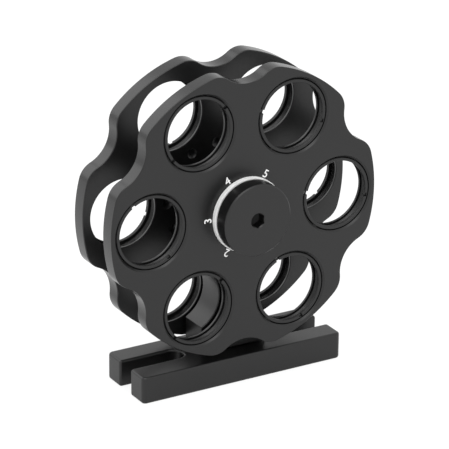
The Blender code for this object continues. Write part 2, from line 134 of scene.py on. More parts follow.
# Numbers round the hub
NUMBER_CIRCLE_RADIUS = 14.7 * MM
NUMBER_SIZE = 3.9 * MM
NUMBER_THICKNESS = 0.02 * MM
NUMBER_STROKE_GAIN = 0.05 * MM

# Pivot screws, washers and bushings
KNOB_UNDERSIDE = SPACER_OUTER_FACE + SEAT_GAP
KNOB_CHAMFER = 0.4 * MM
SHOULDER_RADIUS = 4.7 * MM
SHOULDER_END = UPRIGHT_HIGH.y + SEAT_GAP
PIVOT_THREAD_RADIUS = 3.0 * MM
PIVOT_THREAD_PITCH = 1.0 * MM
PIVOT_THREAD_DEPTH = 0.4 * MM
PIVOT_HEX = 4.76 * MM
PIVOT_HEX_DEPTH = 3.5 * MM
PIVOT_DRILL_GAP = 0.05 * MM
PIVOT_DRILL_RADIUS = PIVOT_HEX / 2 - PIVOT_DRILL_GAP
PIVOT_DRILL_POINT = 1.2 * MM
PIVOT_COUNTERSINK_DEPTH = 0.45 * MM
SHOULDER_BORE_RADIUS = SHOULDER_RADIUS + SEAT_GAP
SPACER_INSET = 0.2 * MM
SPACER_CHAMFER = 0.1 * MM
SHIM_CHAMFER = 0.05 * MM
SMALL_CHAMFER = 0.2 * MM

# Base, upright and their screws
BASE_EDGE = 0.85 * MM
BASE_CORNER = 1.6 * MM
SLOT_WIDTH = 7.2 * MM
SLOT_INNER_END = 17.0 * MM
UPRIGHT_EDGE = 0.35 * MM
HOLLOW_RADIUS = BORE_RADIUS - 1.2 * MM
SCREW_SPACING = 15.0 * MM
SCREW_RADIUS = 2.0 * MM
SCREW_HEAD_RADIUS = half_width("base_screw_left")
SCREW_SEAT = 4.6 * MM
SCREW_PLAIN_SHANK = 1.5 * MM
SCREW_PITCH = 0.7 * MM
SCREW_THREAD_DEPTH = 0.3 * MM
SCREW_HEX = 3.0 * MM
SCREW_HEX_DEPTH = 2.0 * MM

# Detent
BALL_RADIUS = (BALL_HIGH.y - BALL_LOW.y) / 2
BALL_CENTRE = -(BALL_HIGH.y + BALL_LOW.y) / 2
DETENT_DROP = AXLE_HEIGHT - (BALL_HIGH.z + BALL_LOW.z) / 2
DIMPLE_RADIUS = BALL_RADIUS + SEAT_GAP
SPRING_WIRE_RADIUS = 0.25 * MM
SPRING_RADIUS = BALL_RADIUS - SPRING_WIRE_RADIUS
SPRING_TURNS = 4
SPRING_HALF_LENGTH = (SPRING_HIGH.y - SPRING_LOW.y) / 2 - SPRING_WIRE_RADIUS

# Steps of round shapes
BORE_STEPS = 112
TURNED_STEPS = 128
SMALL_STEPS = 48
EDGE_STEPS = 3
ROWS_PER_PITCH = 8
LOBE_STEPS = 10
SCALLOP_STEPS = 14
CORNER_STEPS = 6
SLOT_STEPS = 32
UPRIGHT_STEPS = 64
DIMPLE_STEPS = 24
DIMPLE_ROWS = 6
BALL_STEPS = 48
BALL_ROWS = 32
WIRE_STEPS_PER_TURN = 36
WIRE_SIDES = 10

# Angles in degrees from which an edge is drawn sharp, or is bevelled
SHARP_ANGLE = 32.0
BALL_SHARP_ANGLE = 60.0
WIRE_SHARP_ANGLE = 50.0
BEVELLED_ANGLE = 50.0

# Finish of the black anodised pieces
BLACK = (0.003, 0.003, 0.0031)
LIGHTER_BLACK = (0.0042, 0.0042, 0.0044)
BLACK_SPECULAR = 0.53
BLACK_ROUGHNESS = 0.36

# Camera, as fitted to the photograph's frame
PHOTO_WIDTH = 449
FOCAL_PIXELS = 2903.5
SENSOR_WIDTH = 36.0
CAMERA_YAW = math.radians(30.674)
CAMERA_PITCH = math.radians(22.007)
CAMERA_ROLL = math.radians(0.617)
CAMERA_DISTANCE = 986.3 * MM
CAMERA_TARGET = Vector((-0.74, 0.0, 53.60)) * MM
CAMERA_CLIP = (0.05, 20.0)

# Lights and floor. The last value is the glow's weight for glossy and transmission rays
KEY_LIGHT = {"direction": (-0.25, -0.3, 0.9), "distance": 0.9, "size": 0.7, "power": 3.2}
BACK_LIGHT = {"direction": (-0.4, 0.8, 0.5), "distance": 1.0, "size": 0.7, "power": 1.3}
FLOOR_HALF_SIZE = 4.0
FLOOR_GREY = 0.85
FLOOR_ROUGHNESS = 0.9
FLOOR_GLOW = 1.1
FLOOR_GLOW_SHARE = 0.78
FLOOR_GLOW_IN_GLOSS = 0.4


class Shell:
    """A closed surface, put together ring by ring."""

    def __init__(self):
        self.shape = bmesh.new()

    def ring(self, points):
        return [self.shape.verts.new(point) for point in points]

    def bridge(self, first, second):
        for k, corner in enumerate(first):
            after = (k + 1) % len(first)
            self.shape.faces.new((corner, first[after], second[after], second[k]))

    def bridge_all(self, rings):
        for first, second in zip(rings, rings[1:]):
            self.bridge(first, second)

    def gather(self, ring, point):
        """Close a ring with triangles to one point."""
        tip = self.shape.verts.new(point)
        for k, corner in enumerate(ring):
            self.shape.faces.new((corner, ring[(k + 1) % len(ring)], tip))

    def fill(self, rings):
        """A flat face that is bounded by the first ring, with the others as holes."""
        edges = []
        for ring in rings:
            for k, corner in enumerate(ring):
                pair = (ring[k - 1], corner)
                edges.append(self.shape.edges.get(pair) or self.shape.edges.new(pair))
        bmesh.ops.triangle_fill(self.shape, use_beauty=True, use_dissolve=False, edges=edges)

    def mesh(self, name, sharp_angle=SHARP_ANGLE):
        bmesh.ops.recalc_face_normals(self.shape, faces=self.shape.faces)
        return to_mesh(name, self.shape, sharp_angle)


def to_mesh(name, shape, sharp_angle=SHARP_ANGLE):
    made = bpy.data.meshes.new(name)
    shape.to_mesh(made)
    shape.free()
    return shaded(made, sharp_angle)


def shaded(mesh, sharp_angle=SHARP_ANGLE):
    mesh.shade_smooth()
    mesh.set_sharp_from_angle(angle=math.radians(sharp_angle))
    return mesh


def link_new(name, data):
    """A new object with that data, in the scene."""
    made = bpy.data.objects.new(name, data)
    bpy.context.scene.collection.objects.link(made)
    return made


def add_piece(name, mesh, material, body, matrix=None, node=None):
    """Link a mesh as a piece of the object.

    body is the body that it rides on, or None to leave it on no body. node is the solid that it
    stands for.
    """
    piece = link_new(name, mesh)
    if matrix is not None:
        piece.matrix_world = matrix
    if not mesh.materials:
        mesh.materials.append(material)
    weighted = piece.modifiers.new("flat_faces", "WEIGHTED_NORMAL")
    weighted.keep_sharp = True
    if body is not None:
        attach(piece, body)
    if node is not None:
        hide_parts(node)
    return piece


def cut_away(mesh, cutter_mesh):
    """The mesh less the cutter, as a new mesh of the same name."""
    name = mesh.name
    target = link_new("target", mesh)
    cutter = link_new("cutter", cutter_mesh)
    modifier = target.modifiers.new("cut", "BOOLEAN")
    modifier.operation = "DIFFERENCE"
    modifier.solver = "EXACT"
    modifier.object = cutter
    graph = bpy.context.evaluated_depsgraph_get()
    made = bpy.data.meshes.new_from_object(target.evaluated_get(graph))
    for helper in (target, cutter):
        bpy.data.objects.remove(helper, do_unlink=True)
    bpy.data.meshes.remove(mesh)
    bpy.data.meshes.remove(cutter_mesh)
    made.name = name
    return shaded(made)


def arc(centre, radius, start, end, steps):
    """Points on an arc, angles in radians, both ends included."""
    angles = [start + (end - start) * k / steps for k in range(steps + 1)]
    return [(centre[0] + radius * math.cos(a), centre[1] + radius * math.sin(a)) for a in angles]


def around(radius, angle):
    """The point at that radius and angle about Z."""
    return Vector((radius * math.cos(angle), radius * math.sin(angle), 0.0))


def sideways(x):
    """A move along X."""
    return Matrix.Translation((x, 0.0, 0.0))


def without_repeats(points):
    """The closed outline's points, less each that lies on the one before."""
    kept = []
    for point in points:
        if not kept or math.dist(point, kept[-1]) > 1e-6:
            kept.append(point)
    if math.dist(kept[0], kept[-1]) < 1e-6:
        kept.pop()
    return kept


def plain(*stations):
    """Stations of a turned profile, each (radius, height), with no thread."""
    return [(radius, height, 0.0) for radius, height in stations]


def cylinder(radius, low, high):
    """Stations of a plain cylinder, from its axis to its axis."""
    return plain((0.0, low), (radius, low), (radius, high), (0.0, high))


def threaded(radius, start, end, pitch, depth):
    """Stations along a thread, whose groove runs out at both ends. A negative depth cuts inward."""
    count = max(2, round(abs(end - start) / pitch * ROWS_PER_PITCH))
    stations = []
    for k in range(count + 1):
        height = start + (end - start) * k / count
        run_out = min(1.0, 2 * abs(height - start) / pitch, 2 * abs(end - height) / pitch)
        stations.append((radius, height, depth * run_out))
    return stations


def station_points(station, steps, pitch, centre):
    """The ring of points that a station makes when it is turned round the line through centre."""
    radius, height, groove = station
    points = []
    for k in range(steps):
        turn = k / steps
        phase = (height / pitch - turn) % 1.0
        reach = radius + groove * (1.0 - abs(2 * phase - 1.0))
        points.append(centre + around(reach, math.tau * turn) + Vector((0.0, 0.0, height)))
    return points


def turned(name, profile, steps, pitch=1.0):
    """A solid of revolution. A profile that starts on the axis also ends there.

    The pitch counts only for stations with a groove.
    """
    shell = Shell()
    origin = Vector((0.0, 0.0, 0.0))
    solid = profile[0][0] == 0.0
    stations = profile[1:-1] if solid else profile
    rings = [shell.ring(station_points(station, steps, pitch, origin)) for station in stations]
    shell.bridge_all(rings)
    if solid:
        shell.gather(rings[0], (0.0, 0.0, profile[0][1]))
        shell.gather(rings[-1], (0.0, 0.0, profile[-1][1]))
    else:
        shell.bridge(rings[-1], rings[0])
    return shell.mesh(name)


def drilled(mesh, profile, place=Matrix()):
    """The mesh less a turned hole at that place."""
    hole = turned("hole", profile, SMALL_STEPS)
    hole.transform(place)
    return cut_away(mesh, hole)


def prism(name, outline, low, high, edge=0.0):
    """An outline of (x, y) points between two heights, with its sharp edges rounded."""
    shape = bmesh.new()
    face = shape.faces.new([shape.verts.new((x, y, low)) for x, y in outline])
    raised = bmesh.ops.extrude_face_region(shape, geom=[face])["geom"]
    top = [item for item in raised if isinstance(item, bmesh.types.BMVert)]
    bmesh.ops.translate(shape, verts=top, vec=(0.0, 0.0, high - low))
    bmesh.ops.recalc_face_normals(shape, faces=shape.faces)
    if edge > 0.0:
        least = math.radians(BEVELLED_ANGLE)
        sharp = [e for e in shape.edges if e.calc_face_angle(0.0) > least]
        bmesh.ops.bevel(
            shape, geom=sharp, offset=edge, offset_type="OFFSET", segments=EDGE_STEPS, profile=0.5,
            affect="EDGES", clamp_overlap=True,
        )
    return to_mesh(name, shape)


def hexagon(across_flats):
    """Corners of a hexagon with a corner straight up."""
    corner_radius = across_flats / (2 * math.cos(math.pi / 6))
    return [tuple(around(corner_radius, math.pi / 2 + math.pi / 3 * k).xy) for k in range(6)]


def side_frame(side):
    """The frame of one side: X to the right as seen from outside, Y up, Z outward along the axle."""
    facing = 0.0 if side == "front" else math.pi
    outward = Matrix.Rotation(facing, 4, "Z") @ Matrix.Rotation(math.pi / 2, 4, "X")
    return Matrix.Translation((0.0, 0.0, AXLE_HEIGHT)) @ outward


# Materials

def new_material(name):
    material = bpy.data.materials.new(name)
    material.use_nodes = True
    nodes = material.node_tree.nodes
    return material, nodes, material.node_tree.links, nodes["Principled BSDF"]


def object_coordinates(nodes, links):
    """Coordinates in millimetres that stay with the piece."""
    source = nodes.new("ShaderNodeTexCoord")
    mapping = nodes.new("ShaderNodeMapping")
    mapping.inputs["Scale"].default_value = [1.0 / MM] * 3
    links.new(source.outputs["Object"], mapping.inputs["Vector"])
    return mapping.outputs["Vector"]


def add_noise(nodes, links, vector, scale, detail=3.0, roughness=0.55):
    noise = nodes.new("ShaderNodeTexNoise")
    noise.inputs["Scale"].default_value = scale
    noise.inputs["Detail"].default_value = detail
    noise.inputs["Roughness"].default_value = roughness
    links.new(vector, noise.inputs["Vector"])
    return noise.outputs["Fac"]


def map_range(nodes, links, value, low, high, from_low=0.3, from_high=0.7):
    ranged = nodes.new("ShaderNodeMapRange")
    ranged.inputs["From Min"].default_value = from_low
    ranged.inputs["From Max"].default_value = from_high
    ranged.inputs["To Min"].default_value = low
    ranged.inputs["To Max"].default_value = high
    links.new(value, ranged.inputs["Value"])
    return ranged.outputs["Result"]


def mix_colours(nodes, links, factor, first, second):
    mix = nodes.new("ShaderNodeMix")
    mix.data_type = "RGBA"
    mix.inputs["A"].default_value = (*first, 1.0)
    mix.inputs["B"].default_value = (*second, 1.0)
    links.new(factor, mix.inputs["Factor"])
    return mix.outputs["Result"]


def add_bump(nodes, links, heights, shader):
    """Chain bumps, each (height, strength, distance in metres), into the shader's normal."""
    normal = None
    for height, strength, distance in heights:
        bump = nodes.new("ShaderNodeBump")
        bump.inputs["Strength"].default_value = strength
        bump.inputs["Distance"].default_value = distance
        links.new(height, bump.inputs["Height"])
        if normal is not None:
            links.new(normal, bump.inputs["Normal"])
        normal = bump.outputs["Normal"]
    links.new(normal, shader.inputs["Normal"])


def turning_marks(nodes, links, vector, spacing):
    """Fine concentric marks, as a lathe leaves them, round the piece's own Z axis."""
    wave = nodes.new("ShaderNodeTexWave")
    wave.wave_type = "RINGS"
    wave.rings_direction = "Z"
    # The texture's phase is 20 times the scaled distance
    wave.inputs["Scale"].default_value = math.tau / (20.0 * spacing / MM)
    wave.inputs["Distortion"].default_value = 0.6
    wave.inputs["Detail"].default_value = 2.0
    links.new(vector, wave.inputs["Vector"])
    return wave.outputs["Fac"]


def anodised(name, roughness=BLACK_ROUGHNESS, marks=None, wall_share=1.0):
    """Black anodised aluminium over a fine blasted or turned grain.

    Walls along the piece's own Z axis have wall_share of the roughness of its faces. marks is the
    spacing of the lathe marks.
    """
    material, nodes, links, shader = new_material(name)
    shader.inputs["Specular IOR Level"].default_value = BLACK_SPECULAR
    vector = object_coordinates(nodes, links)
    cloud = add_noise(nodes, links, vector, 0.08)
    grain = add_noise(nodes, links, vector, 4.5, detail=2.0, roughness=0.6)
    colour = mix_colours(nodes, links, cloud, BLACK, LIGHTER_BLACK)
    links.new(colour, shader.inputs["Base Color"])
    rough = map_range(nodes, links, grain, roughness - 0.04, roughness + 0.05)
    facing = nodes.new("ShaderNodeSeparateXYZ")
    links.new(nodes.new("ShaderNodeTexCoord").outputs["Normal"], facing.inputs["Vector"])
    tilt = nodes.new("ShaderNodeMath")
    tilt.operation = "ABSOLUTE"
    links.new(facing.outputs["Z"], tilt.inputs[0])
    share = map_range(nodes, links, tilt.outputs["Value"], wall_share, 1.0, from_low=0.2, from_high=0.9)
    scaled = nodes.new("ShaderNodeMath")
    scaled.operation = "MULTIPLY"
    links.new(rough, scaled.inputs[0])
    links.new(share, scaled.inputs[1])
    links.new(scaled.outputs["Value"], shader.inputs["Roughness"])
    heights = [(grain, 0.35, 0.012 * MM)]
    if marks is not None:
        heights.append((turning_marks(nodes, links, vector, marks), 0.25, 0.006 * MM))
    add_bump(nodes, links, heights, shader)
    return material


def acetal():
    """White turned plastic."""
    material, nodes, links, shader = new_material("white_acetal")
    vector = object_coordinates(nodes, links)
    cloud = add_noise(nodes, links, vector, 0.3)
    colour = mix_colours(nodes, links, cloud, (0.88, 0.88, 0.875), (0.92, 0.92, 0.915))
    links.new(colour, shader.inputs["Base Color"])
    links.new(map_range(nodes, links, cloud, 0.42, 0.52), shader.inputs["Roughness"])
    marks = turning_marks(nodes, links, vector, 0.25 * MM)
    grain = add_noise(nodes, links, vector, 6.0)
    add_bump(nodes, links, [(marks, 0.3, 0.01 * MM), (grain, 0.2, 0.008 * MM)], shader)
    return material


def bare_metal(name, dark, light, roughness, marks):
    """Bright metal with lathe marks."""
    material, nodes, links, shader = new_material(name)
    shader.inputs["Metallic"].default_value = 1.0
    vector = object_coordinates(nodes, links)
    cloud = add_noise(nodes, links, vector, 0.5)
    links.new(mix_colours(nodes, links, cloud, dark, light), shader.inputs["Base Color"])
    rough = map_range(nodes, links, cloud, roughness * 0.8, roughness * 1.3)
    links.new(rough, shader.inputs["Roughness"])
    lines = turning_marks(nodes, links, vector, marks)
    add_bump(nodes, links, [(lines, 0.3, 0.006 * MM)], shader)
    return material


def black_oxide():
    """Steel screws with a black oxide skin."""
    material, nodes, links, shader = new_material("black_oxide_steel")
    shader.inputs["Metallic"].default_value = 0.5
    vector = object_coordinates(nodes, links)
    cloud = add_noise(nodes, links, vector, 0.9)
    colour = mix_colours(nodes, links, cloud, (0.018, 0.018, 0.02), (0.035, 0.035, 0.038))
    links.new(colour, shader.inputs["Base Color"])
    links.new(map_range(nodes, links, cloud, 0.28, 0.4), shader.inputs["Roughness"])
    grain = add_noise(nodes, links, vector, 5.0)
    add_bump(nodes, links, [(grain, 0.3, 0.01 * MM)], shader)
    return material


def number_paint():
    """White paint of the numerals round the hub."""
    material, nodes, links, shader = new_material("white_filled_numbers")
    vector = object_coordinates(nodes, links)
    grain = add_noise(nodes, links, vector, 6.0)
    colour = mix_colours(nodes, links, grain, (0.95, 0.95, 0.945), (0.98, 0.98, 0.975))
    links.new(colour, shader.inputs["Base Color"])
    links.new(map_range(nodes, links, grain, 0.55, 0.7), shader.inputs["Roughness"])
    add_bump(nodes, links, [(grain, 0.3, 0.01 * MM)], shader)
    return material


def make_materials():
    """One finish for each kind of piece, by the name that the build functions use."""
    return {
        "anodised": anodised("black_anodised"),
        "disc": anodised("black_anodised_disc", wall_share=0.65),
        "knob": anodised("black_anodised_knob", marks=0.2 * MM),
        "ring": anodised("black_anodised_ring", roughness=0.34, marks=0.16 * MM, wall_share=1.5),
        "acetal": acetal(),
        "bronze": bare_metal(
            "bearing_bronze", (0.42, 0.26, 0.11), (0.52, 0.34, 0.16), roughness=0.34, marks=0.22 * MM),
        "ball": bare_metal(
            "polished_ball", (0.6, 0.6, 0.61), (0.66, 0.66, 0.67), roughness=0.1, marks=0.5 * MM),
        "spring": bare_metal(
            "spring_wire", (0.42, 0.42, 0.43), (0.52, 0.52, 0.53), roughness=0.28, marks=0.3 * MM),
        "screw": black_oxide(),
        "number": number_paint(),
    }


# Pieces

def wheel_outline():
    """The rim: a lobe at each filter position and a finger scallop between each pair of lobes."""
    scallop_distance = WHEEL_RADIUS - SCALLOP_DEPTH + SCALLOP_RADIUS
    fillet_distance = WHEEL_RADIUS - SCALLOP_FILLET
    reach = SCALLOP_RADIUS + SCALLOP_FILLET
    cosine = fillet_distance**2 + scallop_distance**2 - reach**2
    cosine /= 2 * fillet_distance * scallop_distance
    fillet_angle = HALF_PITCH - math.acos(cosine)
    fillet_centre = around(fillet_distance, fillet_angle).xy
    scallop_centre = around(scallop_distance, HALF_PITCH).xy
    tangent = scallop_centre - fillet_centre
    tangent_angle = math.atan2(tangent.y, tangent.x)
    half_lobe = arc((0.0, 0.0), WHEEL_RADIUS, 0.0, fillet_angle, LOBE_STEPS)
    half_lobe += arc(fillet_centre, SCALLOP_FILLET, fillet_angle, tangent_angle, LOBE_STEPS)
    half_lobe += arc(scallop_centre, SCALLOP_RADIUS, tangent_angle - math.pi, HALF_PITCH - math.pi,
                     SCALLOP_STEPS)
    sector = [(x, -y) for x, y in reversed(half_lobe)] + half_lobe
    outline = []
    for k in range(POSITIONS):
        turn = Matrix.Rotation(2 * HALF_PITCH * k, 2)
        outline += [tuple(turn @ Vector(point)) for point in sector]
    return without_repeats(outline)


def inset_points(outline, inset, height):
    """The outline moved inward along its own normals, at a height."""
    points = []
    for k, here in enumerate(outline):
        before = Vector(outline[k - 1])
        after = Vector(outline[(k + 1) % len(outline)])
        along = (after - before).normalized()
        inward = Vector((-along.y, along.x))
        moved = Vector(here) + inset * inward
        points.append((moved.x, moved.y, height))
    return points


def rounded_wall(shell, outline, low, high, edge):
    """The side wall of a plate with rounded edges. Gives its lowest and highest ring."""
    levels = []
    for k in range(EDGE_STEPS + 1):
        turn = math.pi / 2 * k / EDGE_STEPS
        levels.append((edge * (1 - math.sin(turn)), edge * (1 - math.cos(turn))))
    rings = [shell.ring(inset_points(outline, inset, low + rise)) for inset, rise in levels]
    rings += [shell.ring(inset_points(outline, inset, high - rise)) for inset, rise in reversed(levels)]
    shell.bridge_all(rings)
    return rings[0], rings[-1]


def filter_bore():
    """Stations of a filter bore, from the wheel's outer face to its inner face."""
    thread_start = WHEEL_OUTER_FACE - THREAD_RELIEF
    ledge = WHEEL_INNER_FACE + LIP_THICKNESS
    stations = plain(
        (BORE_RADIUS + BORE_CHAMFER, WHEEL_OUTER_FACE),
        (BORE_RADIUS, WHEEL_OUTER_FACE - BORE_CHAMFER),
        (BORE_RADIUS, thread_start + SEAT_GAP / 2),
    )
    stations += threaded(THREAD_CREST_RADIUS, thread_start, ledge, THREAD_PITCH, THREAD_DEPTH)
    stations += plain(
        (LIP_RADIUS + LIP_CHAMFER, ledge),
        (LIP_RADIUS, ledge - LIP_CHAMFER),
        (LIP_RADIUS, WHEEL_INNER_FACE + LIP_CHAMFER),
        (LIP_RADIUS + LIP_CHAMFER, WHEEL_INNER_FACE),
    )
    return stations


def hub_bore():
    """Stations of the hub's bore, from the wheel's outer face to its inner face."""
    return plain(
        (HUB_BORE_RADIUS + HUB_CHAMFER, WHEEL_OUTER_FACE),
        (HUB_BORE_RADIUS, WHEEL_OUTER_FACE - HUB_CHAMFER),
        (HUB_BORE_RADIUS, WHEEL_INNER_FACE + HUB_CHAMFER),
        (HUB_BORE_RADIUS + HUB_CHAMFER, WHEEL_INNER_FACE),
    )


def dimple(shell, centre):
    """A round-bottomed dimple in the inner face. Gives the ring at its mouth."""
    mouth = math.asin(DIMPLE_MOUTH_RADIUS / DIMPLE_RADIUS)
    rings = []
    for k in range(DIMPLE_ROWS):
        turn = mouth * (1 - k / DIMPLE_ROWS)
        height = BALL_CENTRE + DIMPLE_RADIUS * math.cos(turn)
        station = (DIMPLE_RADIUS * math.sin(turn), height, 0.0)
        rings.append(shell.ring(station_points(station, DIMPLE_STEPS, THREAD_PITCH, centre)))
    shell.bridge_all(rings)
    shell.gather(rings[-1], centre + Vector((0.0, 0.0, BALL_CENTRE + DIMPLE_RADIUS)))
    return rings[0]


def wheel_mesh():
    """A scalloped disc with its hub bore, filter bores and dimples."""
    shell = Shell()
    low, high = rounded_wall(shell, wheel_outline(), WHEEL_INNER_FACE, WHEEL_OUTER_FACE, WHEEL_EDGE)
    inner_rings, outer_rings = [low], [high]
    bores = [(Vector((0.0, 0.0, 0.0)), hub_bore())]
    for k in range(POSITIONS):
        bores.append((around(FILTER_CIRCLE_RADIUS, 2 * HALF_PITCH * k), filter_bore()))
    for centre, stations in bores:
        rings = [shell.ring(station_points(s, BORE_STEPS, THREAD_PITCH, centre)) for s in stations]
        shell.bridge_all(rings)
        outer_rings.append(rings[0])
        inner_rings.append(rings[-1])
    for k in range(DIMPLE_COUNT):
        inner_rings.append(dimple(shell, around(DETENT_DROP, math.tau * k / DIMPLE_COUNT)))
    shell.fill(inner_rings)
    shell.fill(outer_rings)
    return shell.mesh("wheel")


def ring_mesh():
    """A retaining ring about its own axis, with two spanner notches along X."""
    profile = plain(
        (RING_INNER_RADIUS + RING_INNER_CHAMFER, RING_FACE),
        (RING_OUTER_RADIUS - RING_OUTER_CHAMFER, RING_FACE),
    )
    profile += threaded(RING_OUTER_RADIUS, RING_FACE - RING_OUTER_CHAMFER, RING_REAR, THREAD_PITCH,
                        -RING_THREAD_DEPTH)
    profile += plain(
        (RING_INNER_RADIUS + RING_INNER_CHAMFER, RING_REAR),
        (RING_INNER_RADIUS, RING_REAR + RING_INNER_CHAMFER),
        (RING_INNER_RADIUS, RING_FACE - RING_INNER_CHAMFER),
    )
    ring = turned("retaining_ring", profile, BORE_STEPS, THREAD_PITCH)
    x = RING_OUTER_RADIUS + CUT_MARGIN
    y = NOTCH_WIDTH / 2
    bar = [(-x, -y), (x, -y), (x, y), (-x, y)]
    return cut_away(ring, prism("notches", bar, RING_FACE - NOTCH_DEPTH, RING_FACE + CUT_MARGIN))


def pivot_screw_mesh():
    """A knob head on a shoulder, with a threaded end and a countersunk hexagon socket."""
    thread_start = PIVOT_END + SMALL_CHAMFER
    profile = plain((0.0, PIVOT_END), (PIVOT_THREAD_RADIUS - SMALL_CHAMFER, PIVOT_END))
    profile += threaded(PIVOT_THREAD_RADIUS, thread_start, SHOULDER_END - SMALL_CHAMFER,
                        PIVOT_THREAD_PITCH, -PIVOT_THREAD_DEPTH)
    profile += plain(
        (PIVOT_THREAD_RADIUS, SHOULDER_END),
        (SHOULDER_RADIUS - SMALL_CHAMFER, SHOULDER_END),
        (SHOULDER_RADIUS, SHOULDER_END + SMALL_CHAMFER),
        (SHOULDER_RADIUS, KNOB_UNDERSIDE),
        (KNOB_RADIUS - SMALL_CHAMFER, KNOB_UNDERSIDE),
        (KNOB_RADIUS, KNOB_UNDERSIDE + SMALL_CHAMFER),
        (KNOB_RADIUS, KNOB_FACE - KNOB_CHAMFER),
        (KNOB_RADIUS - KNOB_CHAMFER, KNOB_FACE),
        (0.0, KNOB_FACE),
    )
    screw = turned("pivot_screw", profile, TURNED_STEPS, PIVOT_THREAD_PITCH)
    floor = KNOB_FACE - PIVOT_HEX_DEPTH
    screw = cut_away(screw, prism("socket", hexagon(PIVOT_HEX), floor, KNOB_FACE + CUT_MARGIN))
    over = CUT_MARGIN - PIVOT_DRILL_GAP
    return drilled(screw, plain(
        (0.0, floor - PIVOT_DRILL_POINT),
        (PIVOT_DRILL_RADIUS, floor),
        (PIVOT_DRILL_RADIUS, KNOB_FACE - PIVOT_COUNTERSINK_DEPTH),
        (PIVOT_DRILL_RADIUS + PIVOT_COUNTERSINK_DEPTH + over, KNOB_FACE + over),
        (0.0, KNOB_FACE + over),
    ))


def washer_mesh(name, inner, outer, low, high, chamfer):
    """A flat ring between two heights, with chamfered edges."""
    return turned(name, plain(
        (inner + chamfer, low),
        (outer - chamfer, low),
        (outer, low + chamfer),
        (outer, high - chamfer),
        (outer - chamfer, high),
        (inner + chamfer, high),
        (inner, high - chamfer),
        (inner, low + chamfer),
    ), TURNED_STEPS)


def ball_mesh():
    """A ball about its own centre."""
    shape = bmesh.new()
    bmesh.ops.create_uvsphere(shape, u_segments=BALL_STEPS, v_segments=BALL_ROWS, radius=BALL_RADIUS)
    return to_mesh("detent_ball", shape, BALL_SHARP_ANGLE)


def coil_mesh():
    """Half of the spring: round wire wound along Z from the middle of the cross bore to the ball."""
    shell = Shell()
    along = Vector((0.0, 0.0, 1.0))
    steps = SPRING_TURNS * WIRE_STEPS_PER_TURN // 2
    rings = []
    for k in range(steps + 1):
        out = around(1.0, math.pi / 2 + math.pi * SPRING_TURNS * k / steps)
        centre = out * SPRING_RADIUS + along * SPRING_HALF_LENGTH * k / steps
        points = []
        for j in range(WIRE_SIDES):
            lean = math.tau * j / WIRE_SIDES
            points.append(centre + SPRING_WIRE_RADIUS * (math.cos(lean) * out + math.sin(lean) * along))
        rings.append(shell.ring(points))
    shell.bridge_all(rings)
    for ring in (rings[0], rings[-1]):
        shell.shape.faces.new(ring)
    return shell.mesh("coil", WIRE_SHARP_ANGLE)


def screw_mesh():
    """A cap screw, head down, about its own axis."""
    thread_start = SCREW_SEAT + SCREW_PLAIN_SHANK
    profile = plain(
        (0.0, SCREW_LOW.z),
        (SCREW_HEAD_RADIUS - SMALL_CHAMFER, SCREW_LOW.z),
        (SCREW_HEAD_RADIUS, SCREW_LOW.z + SMALL_CHAMFER),
        (SCREW_HEAD_RADIUS, SCREW_SEAT),
        (SCREW_RADIUS, SCREW_SEAT),
    )
    profile += threaded(SCREW_RADIUS, thread_start, SCREW_HIGH.z - SMALL_CHAMFER, SCREW_PITCH,
                        -SCREW_THREAD_DEPTH)
    profile += plain((SCREW_RADIUS - SMALL_CHAMFER, SCREW_HIGH.z), (0.0, SCREW_HIGH.z))
    screw = turned("base_screw", profile, SMALL_STEPS, SCREW_PITCH)
    low = SCREW_LOW.z - CUT_MARGIN
    return cut_away(screw, prism("socket", hexagon(SCREW_HEX), low, SCREW_LOW.z + SCREW_HEX_DEPTH))


def base_outline():
    """Top view of the base: a bar with rounded corners and an open slot in each end."""
    half_slot = SLOT_WIDTH / 2
    slot_centre = SLOT_INNER_END + half_slot
    outline = []
    for side in (1, -1):
        end = side * BASE_HIGH.x
        facing = 0.0 if side == 1 else math.pi
        corner = (end - side * BASE_CORNER, side * (BASE_HIGH.y - BASE_CORNER))
        before = (corner[0], -corner[1])
        outline += arc(before, BASE_CORNER, facing - math.pi / 2, facing, CORNER_STEPS)
        outline.append((end, -side * half_slot))
        outline += arc((side * slot_centre, 0.0), half_slot, facing - math.pi / 2,
                       facing - 3 * math.pi / 2, SLOT_STEPS)
        outline.append((end, side * half_slot))
        outline += arc(corner, BASE_CORNER, facing, facing + math.pi / 2, CORNER_STEPS)
    return outline


def build_base(materials):
    mesh = prism("base_plate", base_outline(), BASE_LOW.z, BASE_HIGH.z, BASE_EDGE)
    counterbore = plain(
        (0.0, BASE_LOW.z - CUT_MARGIN),
        (SCREW_HEAD_RADIUS + SEAT_GAP, BASE_LOW.z - CUT_MARGIN),
        (SCREW_HEAD_RADIUS + SEAT_GAP, SCREW_SEAT + SEAT_GAP),
        (SCREW_RADIUS + SEAT_GAP, SCREW_SEAT + SEAT_GAP),
        (SCREW_RADIUS + SEAT_GAP, BASE_HIGH.z + CUT_MARGIN),
        (0.0, BASE_HIGH.z + CUT_MARGIN),
    )
    for side in (-1, 1):
        mesh = drilled(mesh, counterbore, sideways(side * SCREW_SPACING / 2))
    add_piece("base", mesh, materials["anodised"], "stand", node="base_plate")


def upright_outline():
    """Front view of the upright: a round-topped bar, hollowed on both sides round the lower bores."""
    half = UPRIGHT_HIGH.x
    centre = around(FILTER_CIRCLE_RADIUS, -2 * HALF_PITCH).xy + Vector((0.0, AXLE_HEIGHT))
    swing = math.acos((centre.x - half) / HOLLOW_RADIUS)
    right = [(half, UPRIGHT_LOW.z)]
    right += arc(centre, HOLLOW_RADIUS, math.pi + swing, math.pi - swing, UPRIGHT_STEPS)
    crown = arc((0.0, AXLE_HEIGHT), half, 0.0, math.pi, UPRIGHT_STEPS)
    left = [(-x, z) for x, z in reversed(right)]
    return right + crown + left


